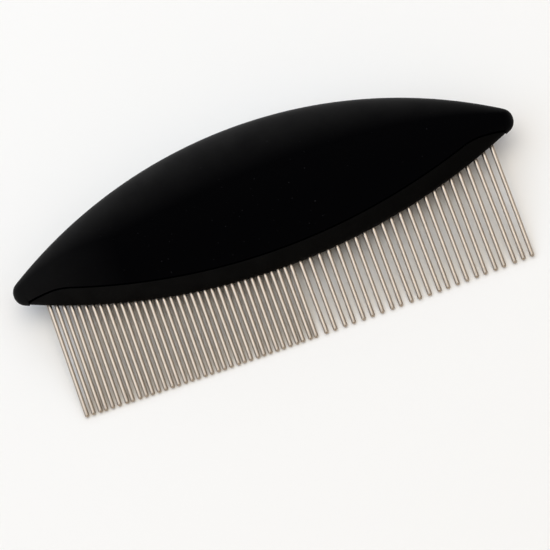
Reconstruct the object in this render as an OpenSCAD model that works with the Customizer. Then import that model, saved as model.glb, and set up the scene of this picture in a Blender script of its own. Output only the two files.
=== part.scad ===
// Grooming comb for the palm: a soft-touch handle shaped like a flattened half moon,
// with one row of steel pins, set close together on the left and wide apart on the right.
// It lies as it rests on a table: +X along the row, +Y from the pin tips to the back of the handle.

/* [Handle] */

// how far the back bulges above the line joining the two rounded ends
back_rise = 26.9; // [22:0.1:31]
// how far the pin side bulges below the same line
belly_drop = 20.1; // [17:0.1:23]
// thickness of the handle at its fullest
handle_thick = 24; // [20:0.5:29]
// radius of the two rounded ends
nose_r = 4; // [3.6:0.1:4.8]
// from the last pin at each end to the end of the handle
end_margin = 9.5; // [7.5:0.1:12]
// thickness of the soft-touch layer
grip_wall = 1.8; // [1.2:0.1:2]

/* [Pin bar] */

// height of the bar that shows below the soft-touch layer, at the middle
bar_show = 4.9; // [4.3:0.1:6.5]
// width of the groove between the soft-touch layer and the bar
seam_gap = 0.3; // [0.2:0.05:0.5]

/* [Pins] */

// number of close-set pins, drawn in pairs
fine_count = 36; // [30:2:40]
// spacing of the close-set pins
fine_pitch = 2.14; // [1.7:0.01:2.6]
// number of wide-set pins
coarse_count = 23; // [18:1:26]
// spacing of the wide-set pins
coarse_pitch = 3.1; // [2.6:0.01:3.8]
// diameter of a pin
pin_d = 1.4; // [1:0.05:1.6]
// length of the middle pins that shows below the bar
pin_show = 24; // [20:0.1:29]
// how far the middle tips stand out past the end tips
tip_bow = 0.9; // [0:0.1:1.2]

/* [Node] */

// sub-part to draw

/* [Hidden] */

$fn = 32;

// pin row, which sets the length of the handle
row_length = (fine_count - 1) * fine_pitch + coarse_count * coarse_pitch;
handle_length = row_length + 2 * end_margin;

// handle outline: two long arcs and a thickness arc, each tangent to the rounded ends
nose_x = handle_length / 2 - nose_r;
edge_power = 0.75;          // below 1 makes the section blunter than an ellipse
back_bias = 0.3;            // moves the fullest part towards the back
body_stations = 56;         // cross-sections along the handle
ring_points = 48;           // points around each cross-section
swell_peak = max([for (a = [0:3:180]) swell(a)]);

// pins
pin_r = pin_d / 2;
pin_clear = 0.03;           // around a pin and under its head
head_r = min(0.8 * pin_d, 0.45 * fine_pitch);
head_h = 0.6;
head_rise = 0.28 * nose_r;  // end heads sit this far above the line joining the rounded ends
tip_reach = belly_drop + pin_show;
pin_length = tip_reach - tip_bow + head_rise;

// inside the handle
skin_gap = 0.1;             // between the soft-touch layer and the core
bar_inset = 0.15;           // the bar sits this far under the soft-touch surface at the middle
bar_end_inset = 0.4;        // and this far under it at the rounded ends
tongue_thick = 0.8 * nose_r; // the part of the bar hidden in the core
tongue_over = 1.5;          // tongue beyond the last pin at each end
slot_clear = 0.1;
strip_h = 1.2;              // strip that keeps the pin heads down
core_stations = 40;
core_points = 36;
past = 1;                   // cuts run this far past what they cut

// seam between the soft-touch layer and the bar: it rises from the middle, levels off near
// each end, and turns down where the bar runs out to a point
seam_end = nose_x;
seam_run = 10.8;            // from the start of the level stretch to the end
seam_flat = seam_end - seam_run;
seam_level = -0.79 * nose_r;
seam_end_drop = nose_r / 8;
seam_end_power = 3;
seam_blend = 1.2;           // height over which the two stretches run into each other
seam_steps = 54;
strip_steps = 12;

// resting pose: the table touches the tips and the fullest part of the face
mid_ring = section(0);
rest_angle = max([for (p = mid_ring) let (dy = p[1] + tip_reach - pin_r, dz = -p[2])
    dz > 0 && dy > 0 ? atan2(dz, dy) - asin(pin_r / norm([dy, dz])) : -90]);
rest_z = (tip_reach - pin_r) * sin(rest_angle) + pin_r;
front_y = -(tip_reach - pin_r) * cos(rest_angle) - pin_r;
back_y = max([for (p = mid_ring) p[1] * cos(rest_angle) - p[2] * sin(rest_angle)]);

fine_pairs = fine_count / 2;

function two_digits(i) = str(i < 10 ? "0" : "", i);
function fine_name(i) = str("fine_pins_", two_digits(i + 1));
function coarse_name(i) = str("coarse_pin_", two_digits(i + 1));

// half-size of the handle at x, for an arc that peaks at the middle and ends on the rounded ends
function reach(x, peak, inset, end_inset) =
    let (
        h = peak - inset,
        r = nose_r - end_inset,
        arc_r = (nose_x * nose_x + h * h - r * r) / (2 * (h - r)),
        tangent_x = nose_x * arc_r / (arc_r - r)
    )
    abs(x) < tangent_x
        ? h - arc_r + sqrt(arc_r * arc_r - x * x)
        : sqrt(max(0, r * r - pow(abs(x) - nose_x, 2)));

// thickness around the section, with a at 0 on the back and 180 on the pin side
function swell(a) = pow(abs(sin(a)), edge_power) * (1 + back_bias * cos(a));

function section_point(x, a, inset, end_inset) =
    [
        x,
        cos(a) * reach(x, cos(a) > 0 ? back_rise : belly_drop, inset, end_inset),
        sign(sin(a)) * swell(a) / swell_peak * reach(x, handle_thick / 2, inset, end_inset)
    ];

function section(x, inset = 0, end_inset = 0, points = ring_points) =
    [for (j = [0:points - 1]) section_point(x, 360 * j / points, inset, end_inset)];

// the lower of two heights, rounded where they cross
function blended_min(a, b, blend) =
    min(a, b) - pow(max(0, blend - abs(a - b)), 2) / (4 * blend);

// height of the seam between the soft-touch layer and the bar
function seam_y(x) =
    let (
        middle = bar_show - belly_drop,
        bow = middle + (seam_level - middle) * pow(x / seam_flat, 2),
        run = max(0, abs(x) - seam_flat) / seam_run
    )
    blended_min(bow, seam_level - seam_end_drop * pow(run, seam_end_power), seam_blend);

function pin_x(i) =
    min(i, fine_count - 1) * fine_pitch + max(0, i - fine_count + 1) * coarse_pitch - row_length / 2;

function tip_y(x) = tip_bow * pow(2 * x / row_length, 2) - tip_reach;

function head_y(x) = tip_y(x) + pin_length;

function spread(half, steps) = [for (i = [-steps:steps]) half * i / steps];

// smooth closed body: rings of points joined by triangles, with a point at each end
module handle_form(inset = 0, end_inset = 0, stations = body_stations, points = ring_points) {
    half = handle_length / 2 - end_inset;
    rings = [
        for (i = [1:stations - 1])
        section(-half * cos(180 * i / stations), inset, end_inset, points)
    ];
    last = (stations - 1) * points + 1;
    corners = concat([[-half, 0, 0]], [for (ring = rings, p = ring) p], [[half, 0, 0]]);
    start_fan = [for (j = [1:points]) [0, j, j % points + 1]];
    end_fan = [for (j = [0:points - 1]) [last, last - points + (j + 1) % points, last - points + j]];
    sides = [
        for (i = [0:stations - 3], j = [0:points - 1])
        let (a = 1 + i * points + j, b = 1 + i * points + (j + 1) % points)
        each [[a, b + points, b], [a, a + points, b + points]]
    ];
    polyhedron(points = corners, faces = concat(start_fan, sides, end_fan));
}

// everything on the pin side of the seam, made larger by a gap
module below_seam(gap = 0) {
    half = seam_end + gap;
    xs = spread(half, seam_steps);
    outline = concat(
        [[-half, -2 * belly_drop]],
        [for (x = xs) [x, seam_y(x) + gap]],
        [[half, -2 * belly_drop]]
    );
    translate([0, 0, -handle_thick])
        linear_extrude(2 * handle_thick)
            polygon(outline);
}

// flat strip along the row, between two heights over the pin heads' line; without a low one
// it reaches down into what is below the seam
module row_strip(half, low, high, thick) {
    xs = spread(half, strip_steps);
    low_edge = [for (x = xs) [x, low == undef ? seam_y(x) - past : head_y(x) + low]];
    outline = concat(
        [for (x = xs) [x, head_y(x) + high]],
        [for (i = [len(xs) - 1:-1:0]) low_edge[i]]
    );
    translate([0, 0, -thick / 2])
        linear_extrude(thick)
            polygon(outline);
}

module pin(i) {
    x = pin_x(i);
    translate([x, tip_y(x), 0])
        rotate([-90, 0, 0]) {
            translate([0, 0, pin_r])
                sphere(r = pin_r);
            translate([0, 0, pin_r])
                cylinder(r = pin_r, h = pin_length + head_h / 2 - pin_r);
            translate([0, 0, pin_length])
                cylinder(r = head_r, h = head_h);
        }
}

module at_rest() {
    translate([0, -(front_y + back_y) / 2, rest_z])
        rotate([rest_angle, 0, 0])
            children();
}

module grip() {
    color("#1b1b1d")
        at_rest()
            difference() {
                handle_form();
                handle_form(grip_wall, grip_wall, core_stations, core_points);
                below_seam(seam_gap);
            }
}

module core() {
    color("#2b2b2b")
        at_rest()
            difference() {
                handle_form(
                    grip_wall + skin_gap, grip_wall + skin_gap, core_stations, core_points
                );
                below_seam(seam_gap);
                row_strip(
                    row_length / 2 + tongue_over + slot_clear, undef,
                    head_h + strip_h + 3 * slot_clear, tongue_thick + 2 * slot_clear
                );
            }
}

module pin_bar() {
    color("#3a3a3a")
        at_rest()
            difference() {
                union() {
                    intersection() {
                        handle_form(bar_inset, bar_end_inset);
                        below_seam();
                    }
                    row_strip(row_length / 2 + tongue_over, undef, -pin_clear, tongue_thick);
                }
                for (i = [0:fine_count + coarse_count - 1])
                    translate([pin_x(i), -belly_drop - past, 0])
                        rotate([-90, 0, 0])
                            cylinder(r = pin_r + pin_clear, h = belly_drop + pin_length);
            }
}

module head_strip() {
    color("#555555")
        at_rest()
            row_strip(
                row_length / 2 + tongue_over, head_h + slot_clear,
                head_h + slot_clear + strip_h, tongue_thick
            );
}

module fine_pins(i) {
    color("#cfc8ba")
        at_rest()
            for (k = [0:1])
                pin(2 * i + k);
}

module coarse_pin(i) {
    color("#cfc8ba")
        at_rest()
            pin(fine_count + i);
}

grip();
core();
pin_bar();
head_strip();
for (i = [0:fine_pairs - 1])
    fine_pins(i);
for (i = [0:coarse_count - 1])
    coarse_pin(i);
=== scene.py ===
import math
import random

import bmesh
import bpy
import numpy as np
from mathutils import Matrix, Vector


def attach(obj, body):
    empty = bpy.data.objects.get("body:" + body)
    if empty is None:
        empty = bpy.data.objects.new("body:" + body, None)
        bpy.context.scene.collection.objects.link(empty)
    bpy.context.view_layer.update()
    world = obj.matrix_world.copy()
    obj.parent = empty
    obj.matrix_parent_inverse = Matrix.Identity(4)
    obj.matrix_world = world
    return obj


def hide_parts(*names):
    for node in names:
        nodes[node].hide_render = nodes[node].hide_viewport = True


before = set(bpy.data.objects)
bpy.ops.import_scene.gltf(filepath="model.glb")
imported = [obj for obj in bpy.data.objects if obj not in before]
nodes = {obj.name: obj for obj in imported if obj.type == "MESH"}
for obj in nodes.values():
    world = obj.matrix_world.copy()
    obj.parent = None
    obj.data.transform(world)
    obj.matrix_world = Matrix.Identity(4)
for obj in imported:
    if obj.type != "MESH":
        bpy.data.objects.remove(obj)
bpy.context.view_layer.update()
print("frame loaded:", len(nodes), "CAD pieces")

mm = 0.001
random.seed(7)


def linear(hexColour):
    # sRGB hex such as "#1b1b1d" to the linear values that the shader works in
    channels = [int(hexColour[i:i + 2], 16) / 255 for i in (1, 3, 5)]
    return [c / 12.92 if c <= 0.04045 else ((c + 0.055) / 1.055) ** 2.4 for c in channels] + [1.0]


# the comb lies tilted on its face, so its shapes are drawn in the plane of the pins:
# x along the row, s from the tips to the back, n out of the face, all in mm


def vertexArray(nodeName):
    mesh = nodes[nodeName].data
    points = np.empty(len(mesh.vertices) * 3)
    mesh.vertices.foreach_get("co", points)
    return points.reshape(-1, 3)


def pinDirection(nodeName):
    points = vertexArray(nodeName)
    axis = np.linalg.svd(points - points.mean(axis=0), full_matrices=False)[2][0]
    return axis if axis[1] > 0 else -axis


gripPoints = vertexArray("grip")
leftNose = gripPoints[gripPoints[:, 0].argmin()]
rightNose = gripPoints[gripPoints[:, 0].argmax()]
noseMiddle = (leftNose + rightNose) / 2
towardsBack = pinDirection("coarse_pin_12")
outOfFace = np.cross([1.0, 0.0, 0.0], towardsBack)


def fromCombPlane(points):
    # (x, s, n) in mm to the row frame in metres
    points = np.asarray(points, dtype=float) * mm
    along = np.array([1.0, 0.0, 0.0])
    inPlane = points[..., :1] * along + points[..., 1:2] * towardsBack
    return noseMiddle + inPlane + points[..., 2:] * outOfFace


# handle form, with the same sizes as the CAD, in mm
form = {
    "halfLength": (rightNose[0] - leftNose[0]) / 2 / mm,
    "backRise": 26.9,
    "bellyDrop": 20.1,
    "thickness": 24.0,
    "noseRadius": 4.0,
    "edgePower": 0.75,
    "backBias": 0.3,
}
noseX = form["halfLength"] - form["noseRadius"]


def reach(x, peak, inset=0.0, endInset=None):
    # half-size of the handle at x: one long arc that runs into the round nose
    rise = peak - inset
    radius = form["noseRadius"] - (inset if endInset is None else endInset)
    arc = (noseX ** 2 + rise ** 2 - radius ** 2) / (2 * (rise - radius))
    tangentX = noseX * arc / (arc - radius)
    onArc = rise - arc + np.sqrt(np.maximum(0, arc ** 2 - x ** 2))
    onNose = np.sqrt(np.maximum(0, radius ** 2 - (np.abs(x) - noseX) ** 2))
    return np.where(np.abs(x) < tangentX, onArc, onNose)


def swell(angle):
    return np.abs(np.sin(angle)) ** form["edgePower"] * (1 + form["backBias"] * np.cos(angle))


swellPeak = swell(np.linspace(0, math.pi, 61)).max()


def sectionPoint(x, angle, inset=0.0, endInset=None):
    # a point on the handle: angle is 0 on the back and pi on the pin side
    x = np.asarray(x, dtype=float)
    peak = np.where(np.cos(angle) > 0, form["backRise"], form["bellyDrop"])
    s = np.cos(angle) * reach(x, peak, inset, endInset)
    thick = reach(x, form["thickness"] / 2, inset, endInset)
    n = np.sign(np.sin(angle)) * swell(angle) / swellPeak * thick
    end = form["halfLength"] - (inset if endInset is None else endInset)
    return np.stack([np.clip(x, -end, end) + 0 * s, s, n], axis=-1)


# seam between the soft-touch skin and the pin bar
seam = {
    "barShow": 4.9,       # height of the bar that shows at the middle
    "gap": 0.3,           # width of the groove
    "end": noseX,         # where the bar runs out to a point
    "run": 10.8,          # level stretch at each end
    "endPower": 3,
    "blend": 1.2,         # height over which the two stretches run into each other
}
seam["flat"] = seam["end"] - seam["run"]
seam["level"] = -0.79 * form["noseRadius"]
seam["endDrop"] = form["noseRadius"] / 8


def seamHeight(x):
    middle = seam["barShow"] - form["bellyDrop"]
    bow = middle + (seam["level"] - middle) * (x / seam["flat"]) ** 2
    run = np.maximum(0, np.abs(x) - seam["flat"]) / seam["run"]
    end = seam["level"] - seam["endDrop"] * run ** seam["endPower"]
    rounding = np.maximum(0, seam["blend"] - np.abs(bow - end)) ** 2 / (4 * seam["blend"])
    return np.minimum(bow, end) - rounding


def angleAtHeight(x, height, inset=0.0, endInset=None):
    # angle round the section at which the surface passes that height, on the pin side
    side = np.maximum(reach(x, form["bellyDrop"], inset, endInset), 1e-6)
    return np.arccos(np.clip(height / side, -1, 1))


def stations(count, end):
    # places along the handle, closer together at the noses
    spread = -np.cos(np.linspace(0, math.pi, count))
    xs = spread * form["halfLength"]
    xs[np.abs(xs - end).argmin()] = end
    xs[np.abs(xs + end).argmin()] = -end
    return xs


def smoothMesh(name, points, faces, slots=None):
    # slots gives the material number of each face
    mesh = bpy.data.meshes.new(name)
    mesh.from_pydata([tuple(p) for p in points], [], faces)
    if slots:
        mesh.polygons.foreach_set("material_index", slots)
    shape = bmesh.new()
    shape.from_mesh(mesh)
    bmesh.ops.remove_doubles(shape, verts=shape.verts, dist=1e-6)
    bmesh.ops.dissolve_degenerate(shape, dist=1e-7, edges=shape.edges)
    bmesh.ops.recalc_face_normals(shape, faces=shape.faces)
    shape.to_mesh(mesh)
    shape.free()
    mesh.polygons.foreach_set("use_smooth", [True] * len(mesh.polygons))
    piece = bpy.data.objects.new(name, mesh)
    bpy.context.collection.objects.link(piece)
    return piece


def gridFaces(rows, columns, closed, keep=lambda row, column: True):
    faces = []
    for row in range(rows - 1):
        for column in range(columns if closed else columns - 1):
            if keep(row, column):
                after = (column + 1) % columns
                faces.append((
                    row * columns + column, row * columns + after,
                    (row + 1) * columns + after, (row + 1) * columns + column,
                ))
    return faces


# round steel pins, each with a slight lean of its own
pinRow = {
    "fineCount": 36,
    "finePitch": 2.14,
    "coarseCount": 23,
    "coarsePitch": 3.1,
    "diameter": 1.4,
    "show": 24.0,         # below the bar at the middle
    "bow": 0.9,
    "buried": 3.0,        # how far the drawn pin runs up into the bar
    "lean": 0.25,         # degrees, about as much as pins differ by
    "rise": 0.6,          # share of the lean that lifts a tip off the table
    "sides": 20,
    "tipRings": 5,
    "shaftRings": 7,
}
fineLength = (pinRow["fineCount"] - 1) * pinRow["finePitch"]
rowLength = fineLength + pinRow["coarseCount"] * pinRow["coarsePitch"]


def pinPlace(i):
    fine = min(i, pinRow["fineCount"] - 1)
    coarse = max(0, i - pinRow["fineCount"] + 1)
    return fine * pinRow["finePitch"] + coarse * pinRow["coarsePitch"] - rowLength / 2


gripLook = {
    "stations": 260,
    "around": 150,        # columns over the outside
    "crowding": 0.6,      # 0 spaces them evenly, 1 crowds them most at the back and the seam
    "lip": 0.12,          # rounding of the skin's edge at the seam, mm
    "lipSteps": 4,
    "wall": 1.8,
    "inside": 24,         # columns over the inside
}


belowAll = -1e3  # mm, lower than anything


def buildGrip():
    slotEnd = seam["end"] + seam["gap"]
    xs = stations(gripLook["stations"], slotEnd)
    pastSlot = np.abs(xs) >= slotEnd - 1e-9
    top = np.where(pastSlot, belowAll, seamHeight(xs) + seam["gap"])  # past the bar the skin closes up
    lip = gripLook["lip"]
    even = np.linspace(-1, 1, gripLook["around"])
    eased = even - gripLook["crowding"] * np.sin(2 * math.pi * even) / (2 * math.pi)
    limit = angleAtHeight(xs, top + lip)
    columns = [sectionPoint(xs, share * limit) for share in eased]
    outerCount = len(columns)

    def lipColumns(sign, order):
        made = []
        for step in order:
            turn = math.pi / 2 * step / gripLook["lipSteps"]
            inset = lip * (1 - math.cos(turn))
            angle = angleAtHeight(xs, top + lip * (1 - math.sin(turn)), inset)
            made.append(sectionPoint(xs, sign * angle, inset))
        return made

    steps = range(1, gripLook["lipSteps"] + 1)
    columns += lipColumns(1, steps)
    innerLimit = angleAtHeight(xs, top, gripLook["wall"])
    firstInner = len(columns)
    for share in np.linspace(1, -1, gripLook["inside"]):
        columns.append(sectionPoint(xs, share * innerLimit, gripLook["wall"]))
    lastInner = len(columns) - 1
    columns += lipColumns(-1, reversed(steps))
    points = fromCombPlane(np.stack(columns, axis=1).reshape(-1, 3))

    def onLip(column):
        return outerCount - 1 <= column < firstInner or column >= lastInner

    def keep(row, column):
        return not (pastSlot[row] and pastSlot[row + 1] and onLip(column))

    # the lip and the inside take the second material, a shaded copy of the rubber
    faces = gridFaces(len(xs), len(columns), True, keep)
    slots = [0 if face[0] % len(columns) < outerCount - 1 else 1 for face in faces]
    piece = smoothMesh("grip_skin", points, faces, slots)
    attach(piece, "root")
    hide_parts("grip")
    return piece


barLook = {
    "stations": 520,
    "around": 90,
    "inset": 0.15,        # under the skin at the middle, mm
    "endInset": 0.4,      # and at the ends
    "edge": 0.25,         # rounding of the bar's upper edge, mm
    "edgeShare": 0.4,     # of the bar's height at most, where it runs out
    "edgeSteps": 3,
    "sinkDepth": 0.18,    # faint sink marks over the wide-set pins, mm
    "sinkRadius": 0.9,
    "sinkFree": (2, 3),   # wide-set pins without a mark at the left and right of their row
    "endGap": 0.05,       # the bar stops this far short of the seam's end, mm
}


def sinkMarks(points):
    # plastic shrinks a little over each thick pin socket and leaves a shallow hollow in the face
    x, s, n = points[..., 0], points[..., 1], points[..., 2]
    deep = np.zeros_like(x)
    first, last = barLook["sinkFree"]
    for i in range(pinRow["fineCount"] + first, pinRow["fineCount"] + pinRow["coarseCount"] - last):
        at = np.array(pinPlace(i))
        middle = (float(seamHeight(at)) - float(reach(at, form["bellyDrop"]))) / 2
        away = ((x - at) ** 2 + (s - middle) ** 2) / barLook["sinkRadius"] ** 2
        deep = np.maximum(deep, np.exp(-away))
    sunk = points.copy()
    sunk[..., 2] -= np.sign(n) * barLook["sinkDepth"] * deep
    return sunk


def buildBar():
    end = seam["end"] - barLook["endGap"]
    xs = -np.cos(np.linspace(0, math.pi, barLook["stations"])) * end
    top = seamHeight(xs)
    inset = barLook["inset"]
    endInset = barLook["endInset"]
    height = reach(xs, form["bellyDrop"], inset, endInset) + top
    edge = np.minimum(barLook["edge"], barLook["edgeShare"] * height)
    first = angleAtHeight(xs, top - edge, inset, endInset)
    columns = []
    for share in np.linspace(0, 1, barLook["around"]):
        columns.append(sectionPoint(xs, first + (2 * math.pi - 2 * first) * share, inset, endInset))
    for sign in (-1, 1):
        order = range(1, barLook["edgeSteps"] + 1)
        for step in order if sign < 0 else reversed(order):
            turn = math.pi / 2 * step / barLook["edgeSteps"]
            deeper = edge * (1 - math.cos(turn))
            angle = angleAtHeight(
                xs, top - edge * (1 - math.sin(turn)), inset + deeper, endInset + deeper,
            )
            columns.append(sectionPoint(xs, sign * angle, inset + deeper, endInset + deeper))
    points = fromCombPlane(sinkMarks(np.stack(columns, axis=1).reshape(-1, 3)))
    piece = smoothMesh("pin_bar_face", points, gridFaces(len(xs), len(columns), True))
    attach(piece, "root")
    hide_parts("pin_bar")
    return piece


def pinShape(i):
    x = pinPlace(i)
    radius = pinRow["diameter"] / 2
    tip = pinRow["bow"] * (2 * x / rowLength) ** 2 - form["bellyDrop"] - pinRow["show"]
    root = -float(reach(np.array(x), form["bellyDrop"]))
    top = root + pinRow["buried"]
    leanX = math.tan(math.radians(random.gauss(0, pinRow["lean"])))
    # no tip dips into the table
    leanN = -abs(math.tan(math.radians(random.gauss(0, pinRow["lean"] * pinRow["rise"]))))
    rings = []
    for step in range(1, pinRow["tipRings"] + 1):
        turn = math.pi / 2 * step / pinRow["tipRings"]
        rings.append((tip + radius * (1 - math.cos(turn)), radius * math.sin(turn)))
    for share in np.linspace(0, 1, pinRow["shaftRings"] + 1)[1:]:
        rings.append((tip + radius + (top - tip - radius) * share, radius))
    sides = pinRow["sides"]
    points = [(x + leanX * (tip - root), tip, leanN * (tip - root))]
    for height, size in rings:
        for side in range(sides):
            turn = 2 * math.pi * side / sides
            points.append((
                x + leanX * (height - root) + size * math.cos(turn), height,
                leanN * (height - root) + size * math.sin(turn),
            ))
    faces = [(0, 1 + j, 1 + (j + 1) % sides) for j in range(sides)]
    faces += [tuple(k + 1 for k in face) for face in gridFaces(len(rings), sides, True)]
    last = 1 + (len(rings) - 1) * sides
    faces.append(tuple(range(last, last + sides)))
    return points, faces


def buildPins():
    fineCount = pinRow["fineCount"]
    groups = [(f"fine_pins_{k + 1:02d}", [2 * k, 2 * k + 1]) for k in range(fineCount // 2)]
    groups += [(f"coarse_pin_{k + 1:02d}", [fineCount + k]) for k in range(pinRow["coarseCount"])]
    made = []
    for nodeName, members in groups:
        points, faces = [], []
        for i in members:
            start = len(points)
            morePoints, moreFaces = pinShape(i)
            points += morePoints
            faces += [tuple(start + k for k in face) for face in moreFaces]
        piece = smoothMesh(nodeName.replace("pin", "wire_pin"), fromCombPlane(points), faces)
        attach(piece, "root")
        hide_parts(nodeName)
        made.append(piece)
    return made


gripSkin = buildGrip()
barFace = buildBar()
print("handle built")
pins = buildPins()
print("pins built:", len(pins), "pieces")


def newMaterial(name):
    material = bpy.data.materials.new(name)
    material.use_nodes = True
    tree = material.node_tree
    tree.nodes.clear()
    output = tree.nodes.new("ShaderNodeOutputMaterial")
    shader = tree.nodes.new("ShaderNodeBsdfPrincipled")
    tree.links.new(shader.outputs["BSDF"], output.inputs["Surface"])
    return material, tree, shader


def addNode(tree, kind, settings=None, **inputs):
    # one node: settings are its properties, inputs are values or (node, output) links, and i0, i1
    # and so on are its inputs by number, for those that share a name
    node = tree.nodes.new("ShaderNode" + kind)
    for name, value in (settings or {}).items():
        setattr(node, name, value)
    for name, value in inputs.items():
        socket = node.inputs[int(name[1:])] if name[0] == "i" and name[1:].isdigit() else node.inputs[name]
        if isinstance(value, tuple) and isinstance(value[0], bpy.types.Node):
            tree.links.new(value[0].outputs[value[1]], socket)
        else:
            socket.default_value = value
    return node


softTouch = {
    "colour": "#010102",
    "paintedHighlight": "#222222",  # painted highlight: greyer where the faces turn to the back and left lights
    "highlightLean": -0.35,    # below 0 the painted highlight leans towards the fine pins' end
    "highlightFrom": 0.02,     # facing the lights this much, the painted highlight starts
    "highlightTo": 0.8,        # and is full
    "noseHighlight": 0.35,    # painted highlight on the nose at the fine pins' end, where the left light falls
    "noseHighlightFrom": 0.6,      # it starts this far along, as a share of the way to the nose
    "cloud": 9.0,         # mm, patches where the finish differs a little
    "unevenness": 0.2,
    "dust": "#1c1c1e",
    "speck": 0.9,         # mm, dust specks, drawn coarser than real dust so that they show
    "speckFrom": 0.76,    # nearer 1 leaves fewer specks
    "roughness": 0.6,
    "roughnessSpread": 0.05,
    "specular": 0.006,    # real rubber is near 0.5, and this keeps the black as deep as it looks
    "sheen": 0.12,
    "sheenRoughness": 0.4,
    "grain": 0.35,        # mm; the real grain is under 0.1 mm and wouldn't show
    "bump": 0.02,         # mm
}


def softTouchRubber(name, paintedHighlightAndGloss):
    # soft-touch TPE, moulded over the core: very dark and dull, with a painted highlight greying the
    # faces turned to the back and left lights, and the odd speck of dust
    material, tree, shader = newMaterial(name)
    place = addNode(tree, "TexCoord")
    grain = addNode(
        tree, "TexNoise", Vector=(place, "Object"), Scale=1 / (softTouch["grain"] * mm), Detail=3.0,
    )
    cloud = addNode(
        tree, "TexNoise", Vector=(place, "Object"), Scale=1 / (softTouch["cloud"] * mm),
        Detail=4.0, Roughness=0.6,
    )
    speck = addNode(
        tree, "TexNoise", Vector=(place, "Object"), Scale=1 / (softTouch["speck"] * mm), Detail=1.0,
    )
    specks = addNode(
        tree, "MapRange", i0=(speck, "Fac"), i1=softTouch["speckFrom"], i2=softTouch["speckFrom"] + 0.04,
    )

    # painted highlight: greyed where the surface faces the back and left lights, and at the nose on the
    # left
    towardsLights = Vector(towardsBack) + Vector((softTouch["highlightLean"], 0, 0))
    facing = addNode(
        tree, "VectorMath", {"operation": "DOT_PRODUCT"}, i0=(place, "Normal"), i1=tuple(towardsLights),
    )
    litFacing = addNode(
        tree, "MapRange", i0=(facing, "Value"), i1=softTouch["highlightFrom"], i2=softTouch["highlightTo"],
    )
    along = addNode(tree, "SeparateXYZ", i0=(place, "Object"))
    nose = addNode(
        tree, "MapRange", i0=(along, "X"), i1=-softTouch["noseHighlightFrom"] * noseX * mm, i2=-noseX * mm,
        i3=0.0, i4=softTouch["noseHighlight"],
    )
    highlightMask = addNode(tree, "Math", {"operation": "MAXIMUM"}, i0=(litFacing, "Result"), i1=(nose, "Result"))
    uneven = addNode(
        tree, "MapRange", i0=(cloud, "Fac"), i1=0.3, i2=0.7,
        i3=1 - softTouch["unevenness"], i4=1 + softTouch["unevenness"],
    )
    greying = addNode(
        tree, "Math", {"operation": "MULTIPLY", "use_clamp": True},
        i0=(highlightMask, "Value"), i1=(uneven, "Result"),
    )
    highlightMix = addNode(tree, "Mix", {"data_type": "RGBA"}, i0=(greying, "Value"))
    highlightMix.inputs[6].default_value = linear(softTouch["colour"])
    highlightMix.inputs[7].default_value = linear(softTouch["paintedHighlight"] if paintedHighlightAndGloss else softTouch["colour"])
    colour = addNode(tree, "Mix", {"data_type": "RGBA"}, i0=(specks, "Result"), i6=(highlightMix, 2))
    colour.inputs[7].default_value = linear(softTouch["dust"])
    tree.links.new(colour.outputs[2], shader.inputs["Base Color"])

    rough = addNode(
        tree, "MapRange", i0=(cloud, "Fac"), i1=0.3, i2=0.7,
        i3=softTouch["roughness"] - softTouch["roughnessSpread"],
        i4=softTouch["roughness"] + softTouch["roughnessSpread"],
    )
    tree.links.new(rough.outputs["Result"], shader.inputs["Roughness"])
    bump = addNode(tree, "Bump", Height=(grain, "Fac"), Strength=0.5, Distance=softTouch["bump"] * mm)
    tree.links.new(bump.outputs["Normal"], shader.inputs["Normal"])
    shader.inputs["Specular IOR Level"].default_value = softTouch["specular"] if paintedHighlightAndGloss else 0.0
    shader.inputs["Sheen Weight"].default_value = softTouch["sheen"] if paintedHighlightAndGloss else 0.0
    shader.inputs["Sheen Roughness"].default_value = softTouch["sheenRoughness"]
    return material


barPlastic = {
    "colour": "#090909",
    "litFineEnd": 1.45,      # painted light: colour at the fine pins' end, where the left light falls, as a share of the above
    "shadedCoarseEnd": 0.4,     # painted shade: colour at the other end
    "roughness": 0.6,
    "specular": 0.03,     # real ABS is near 0.5, lowered like the rubber
    "texture": 0.4,       # mm between the pits of the spark-eroded face, coarsened about twice
    "depth": 0.03,        # mm
    "cloud": 5.0,         # mm, patches a shade lighter or darker
}


def mouldedAbs():
    # ABS from a spark-eroded mould: matte, a shade lighter than the rubber, with a fine even pitting
    material, tree, shader = newMaterial("moulded ABS, spark-eroded")
    place = addNode(tree, "TexCoord")
    pits = addNode(tree, "TexVoronoi", Vector=(place, "Object"), Scale=1 / (barPlastic["texture"] * mm))
    cloud = addNode(
        tree, "TexNoise", Vector=(place, "Object"), Scale=1 / (barPlastic["cloud"] * mm), Detail=3.0,
    )
    shade = addNode(tree, "MapRange", i0=(cloud, "Fac"), i1=0.35, i2=0.65, i3=0.85, i4=1.2)
    # painted light and shade: the bar paler at the fine pins' end and darker at the other, as the left
    # lights fall
    along = addNode(tree, "SeparateXYZ", i0=(place, "Object"))
    paintedLightAlong = addNode(
        tree, "MapRange", i0=(along, "X"), i1=-noseX * mm, i2=noseX * mm,
        i3=barPlastic["litFineEnd"], i4=barPlastic["shadedCoarseEnd"],
    )
    tone = addNode(tree, "Math", {"operation": "MULTIPLY"}, i0=(shade, "Result"), i1=(paintedLightAlong, "Result"))
    colour = addNode(tree, "VectorMath", {"operation": "SCALE"}, Scale=(tone, "Value"))
    colour.inputs[0].default_value = linear(barPlastic["colour"])[:3]
    tree.links.new(colour.outputs["Vector"], shader.inputs["Base Color"])
    bump = addNode(tree, "Bump", Height=(pits, "Distance"), Strength=0.6, Distance=barPlastic["depth"] * mm)
    tree.links.new(bump.outputs["Normal"], shader.inputs["Normal"])
    shader.inputs["Roughness"].default_value = barPlastic["roughness"]
    shader.inputs["Specular IOR Level"].default_value = barPlastic["specular"]
    return material


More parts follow.
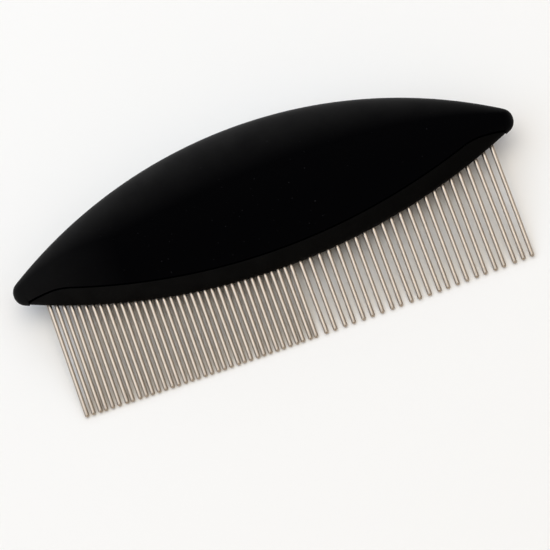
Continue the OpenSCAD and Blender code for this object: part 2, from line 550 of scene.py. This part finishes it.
pinSteel = {
    "colour": "#b8ada0",
    "edgeTint": "#cdb28e",    # grazing reflections turn darker and browner, more than bare steel's do
    "roughness": 0.32,
    "roughnessSpread": 0.04,
    "drawLines": 0.2,         # mm between the lines left by the drawing die, coarsened about ten times
    "lineStretch": 0.02,      # the lines run on for about 1 / this of their width
}


def drawnSteel():
    # stainless wire, drawn and tumbled: a warm bright metal with faint lines along its length
    material, tree, shader = newMaterial("drawn stainless steel wire")
    place = addNode(tree, "TexCoord")
    turned = addNode(tree, "Mapping", Vector=(place, "Object"))
    turned.inputs["Rotation"].default_value = (-math.atan2(towardsBack[2], towardsBack[1]), 0, 0)
    turned.inputs["Scale"].default_value = (1, pinSteel["lineStretch"], 1)
    lines = addNode(
        tree, "TexNoise", Vector=(turned, "Vector"), Scale=1 / (pinSteel["drawLines"] * mm), Detail=1.0,
    )
    tone = addNode(tree, "MapRange", i0=(lines, "Fac"), i1=0.3, i2=0.7, i3=0.96, i4=1.03)
    colour = addNode(tree, "VectorMath", {"operation": "SCALE"}, Scale=(tone, "Result"))
    colour.inputs[0].default_value = linear(pinSteel["colour"])[:3]
    tree.links.new(colour.outputs["Vector"], shader.inputs["Base Color"])
    rough = addNode(
        tree, "MapRange", i0=(lines, "Fac"), i1=0.3, i2=0.7,
        i3=pinSteel["roughness"] - pinSteel["roughnessSpread"],
        i4=pinSteel["roughness"] + pinSteel["roughnessSpread"],
    )
    tree.links.new(rough.outputs["Result"], shader.inputs["Roughness"])
    shader.inputs["Metallic"].default_value = 1.0
    shader.inputs["Specular Tint"].default_value = linear(pinSteel["edgeTint"])
    return material


def finishPiece(piece, *materials):
    if piece.data.materials:  # clearing an empty list would still forget which face has which
        piece.data.materials.clear()
    for material in materials:
        piece.data.materials.append(material)


rubber = softTouchRubber("moulded soft-touch TPE", True)
shadedGrooveRubber = softTouchRubber("soft-touch TPE in the groove", False)  # its own name: a painted-shade copy, without the painted highlight, gloss or sheen, so the groove stays dark
barAbs = mouldedAbs()
steel = drawnSteel()
finishPiece(gripSkin, rubber, shadedGrooveRubber)
finishPiece(barFace, barAbs)
for hidden in ("core", "head_strip"):
    finishPiece(nodes[hidden], barAbs)
for pin in pins:
    finishPiece(pin, steel)
print("materials set")

# pale table top and soft lights
studio = {
    "table": "#f4f4f2",
    "tableSize": 3.0,
    "world": "#ffe8cd",
    "worldStrength": 0.48,
    "panels": {  # place, size, brightness of its face and colour
        "top_panel": ((0.0, 0.1, 1.5), (1.2, 1.2), 2.1, "#fffbf3"),
        "left_panel": ((-1.15, 0.15, 1.25), (2.0, 1.4), 1.28, "#bfdeff"),
        "back_panel": ((0.1, 1.3, 1.1), (2.0, 1.4), 0.89, "#bfdeff"),
        "right_panel": ((1.15, -0.1, 1.25), (2.0, 1.4), 0.58, "#bfdeff"),
    },
}


def buildTable():
    half = studio["tableSize"] / 2
    mesh = bpy.data.meshes.new("table_top")
    corners = [(-half, -half, 0), (half, -half, 0), (half, half, 0), (-half, half, 0)]
    mesh.from_pydata(corners, [], [(0, 1, 2, 3)])
    table = bpy.data.objects.new("table_top", mesh)
    bpy.context.collection.objects.link(table)
    material, tree, shader = newMaterial("white board")
    shader.inputs["Base Color"].default_value = linear(studio["table"])
    shader.inputs["Roughness"].default_value = 0.8
    shader.inputs["Specular IOR Level"].default_value = 0.1
    mesh.materials.append(material)
    return table


def softLight(name, place, size, brightness, colour):
    # a large soft panel that faces the comb; its power follows from how bright its face is
    lamp = bpy.data.lights.new(name, "AREA")
    lamp.shape = "RECTANGLE"
    lamp.size, lamp.size_y = size
    lamp.energy = brightness * size[0] * size[1] * math.pi
    lamp.color = linear(colour)[:3]
    panel = bpy.data.objects.new(name, lamp)
    panel.location = place
    panel.rotation_euler = (-Vector(place)).to_track_quat("-Z", "Y").to_euler()
    panel.visible_camera = False
    bpy.context.collection.objects.link(panel)


def buildWorld():
    world = bpy.data.worlds.new("studio")
    bpy.context.scene.world = world
    world.use_nodes = True
    backdrop = world.node_tree.nodes["Background"]
    backdrop.inputs["Color"].default_value = linear(studio["world"])
    backdrop.inputs["Strength"].default_value = studio["worldStrength"]


buildTable()
buildWorld()
for name, panel in studio["panels"].items():
    softLight(name, *panel)

viewpoint = {
    "target": (-3.91, -14.64, 11.0),  # mm
    "distance": 654.3,                # mm
    "azimuth": 1.26,                  # degrees from +Y towards +X
    "elevation": 67.33,
    "roll": -18.67,
    "lens": 139.3,
}


def buildCamera():
    azimuth = math.radians(viewpoint["azimuth"])
    elevation = math.radians(viewpoint["elevation"])
    roll = math.radians(viewpoint["roll"])
    looking = Vector((
        math.sin(azimuth) * math.cos(elevation),
        math.cos(azimuth) * math.cos(elevation),
        -math.sin(elevation),
    ))
    level = Vector((math.cos(azimuth), -math.sin(azimuth), 0))
    upright = level.cross(looking)
    right = level * math.cos(roll) + upright * math.sin(roll)
    up = upright * math.cos(roll) - level * math.sin(roll)
    lens = bpy.data.cameras.new("camera")
    lens.lens = viewpoint["lens"]
    lens.sensor_width = 36
    lens.clip_start = 0.01
    camera = bpy.data.objects.new("camera", lens)
    place = Vector(viewpoint["target"]) * mm - looking * viewpoint["distance"] * mm
    turn = Matrix((right, up, -looking)).transposed()
    camera.matrix_world = Matrix.Translation(place) @ turn.to_4x4()
    bpy.context.collection.objects.link(camera)
    bpy.context.scene.camera = camera


buildCamera()
bpy.context.scene.view_settings.view_transform = "Standard"
print("studio ready")
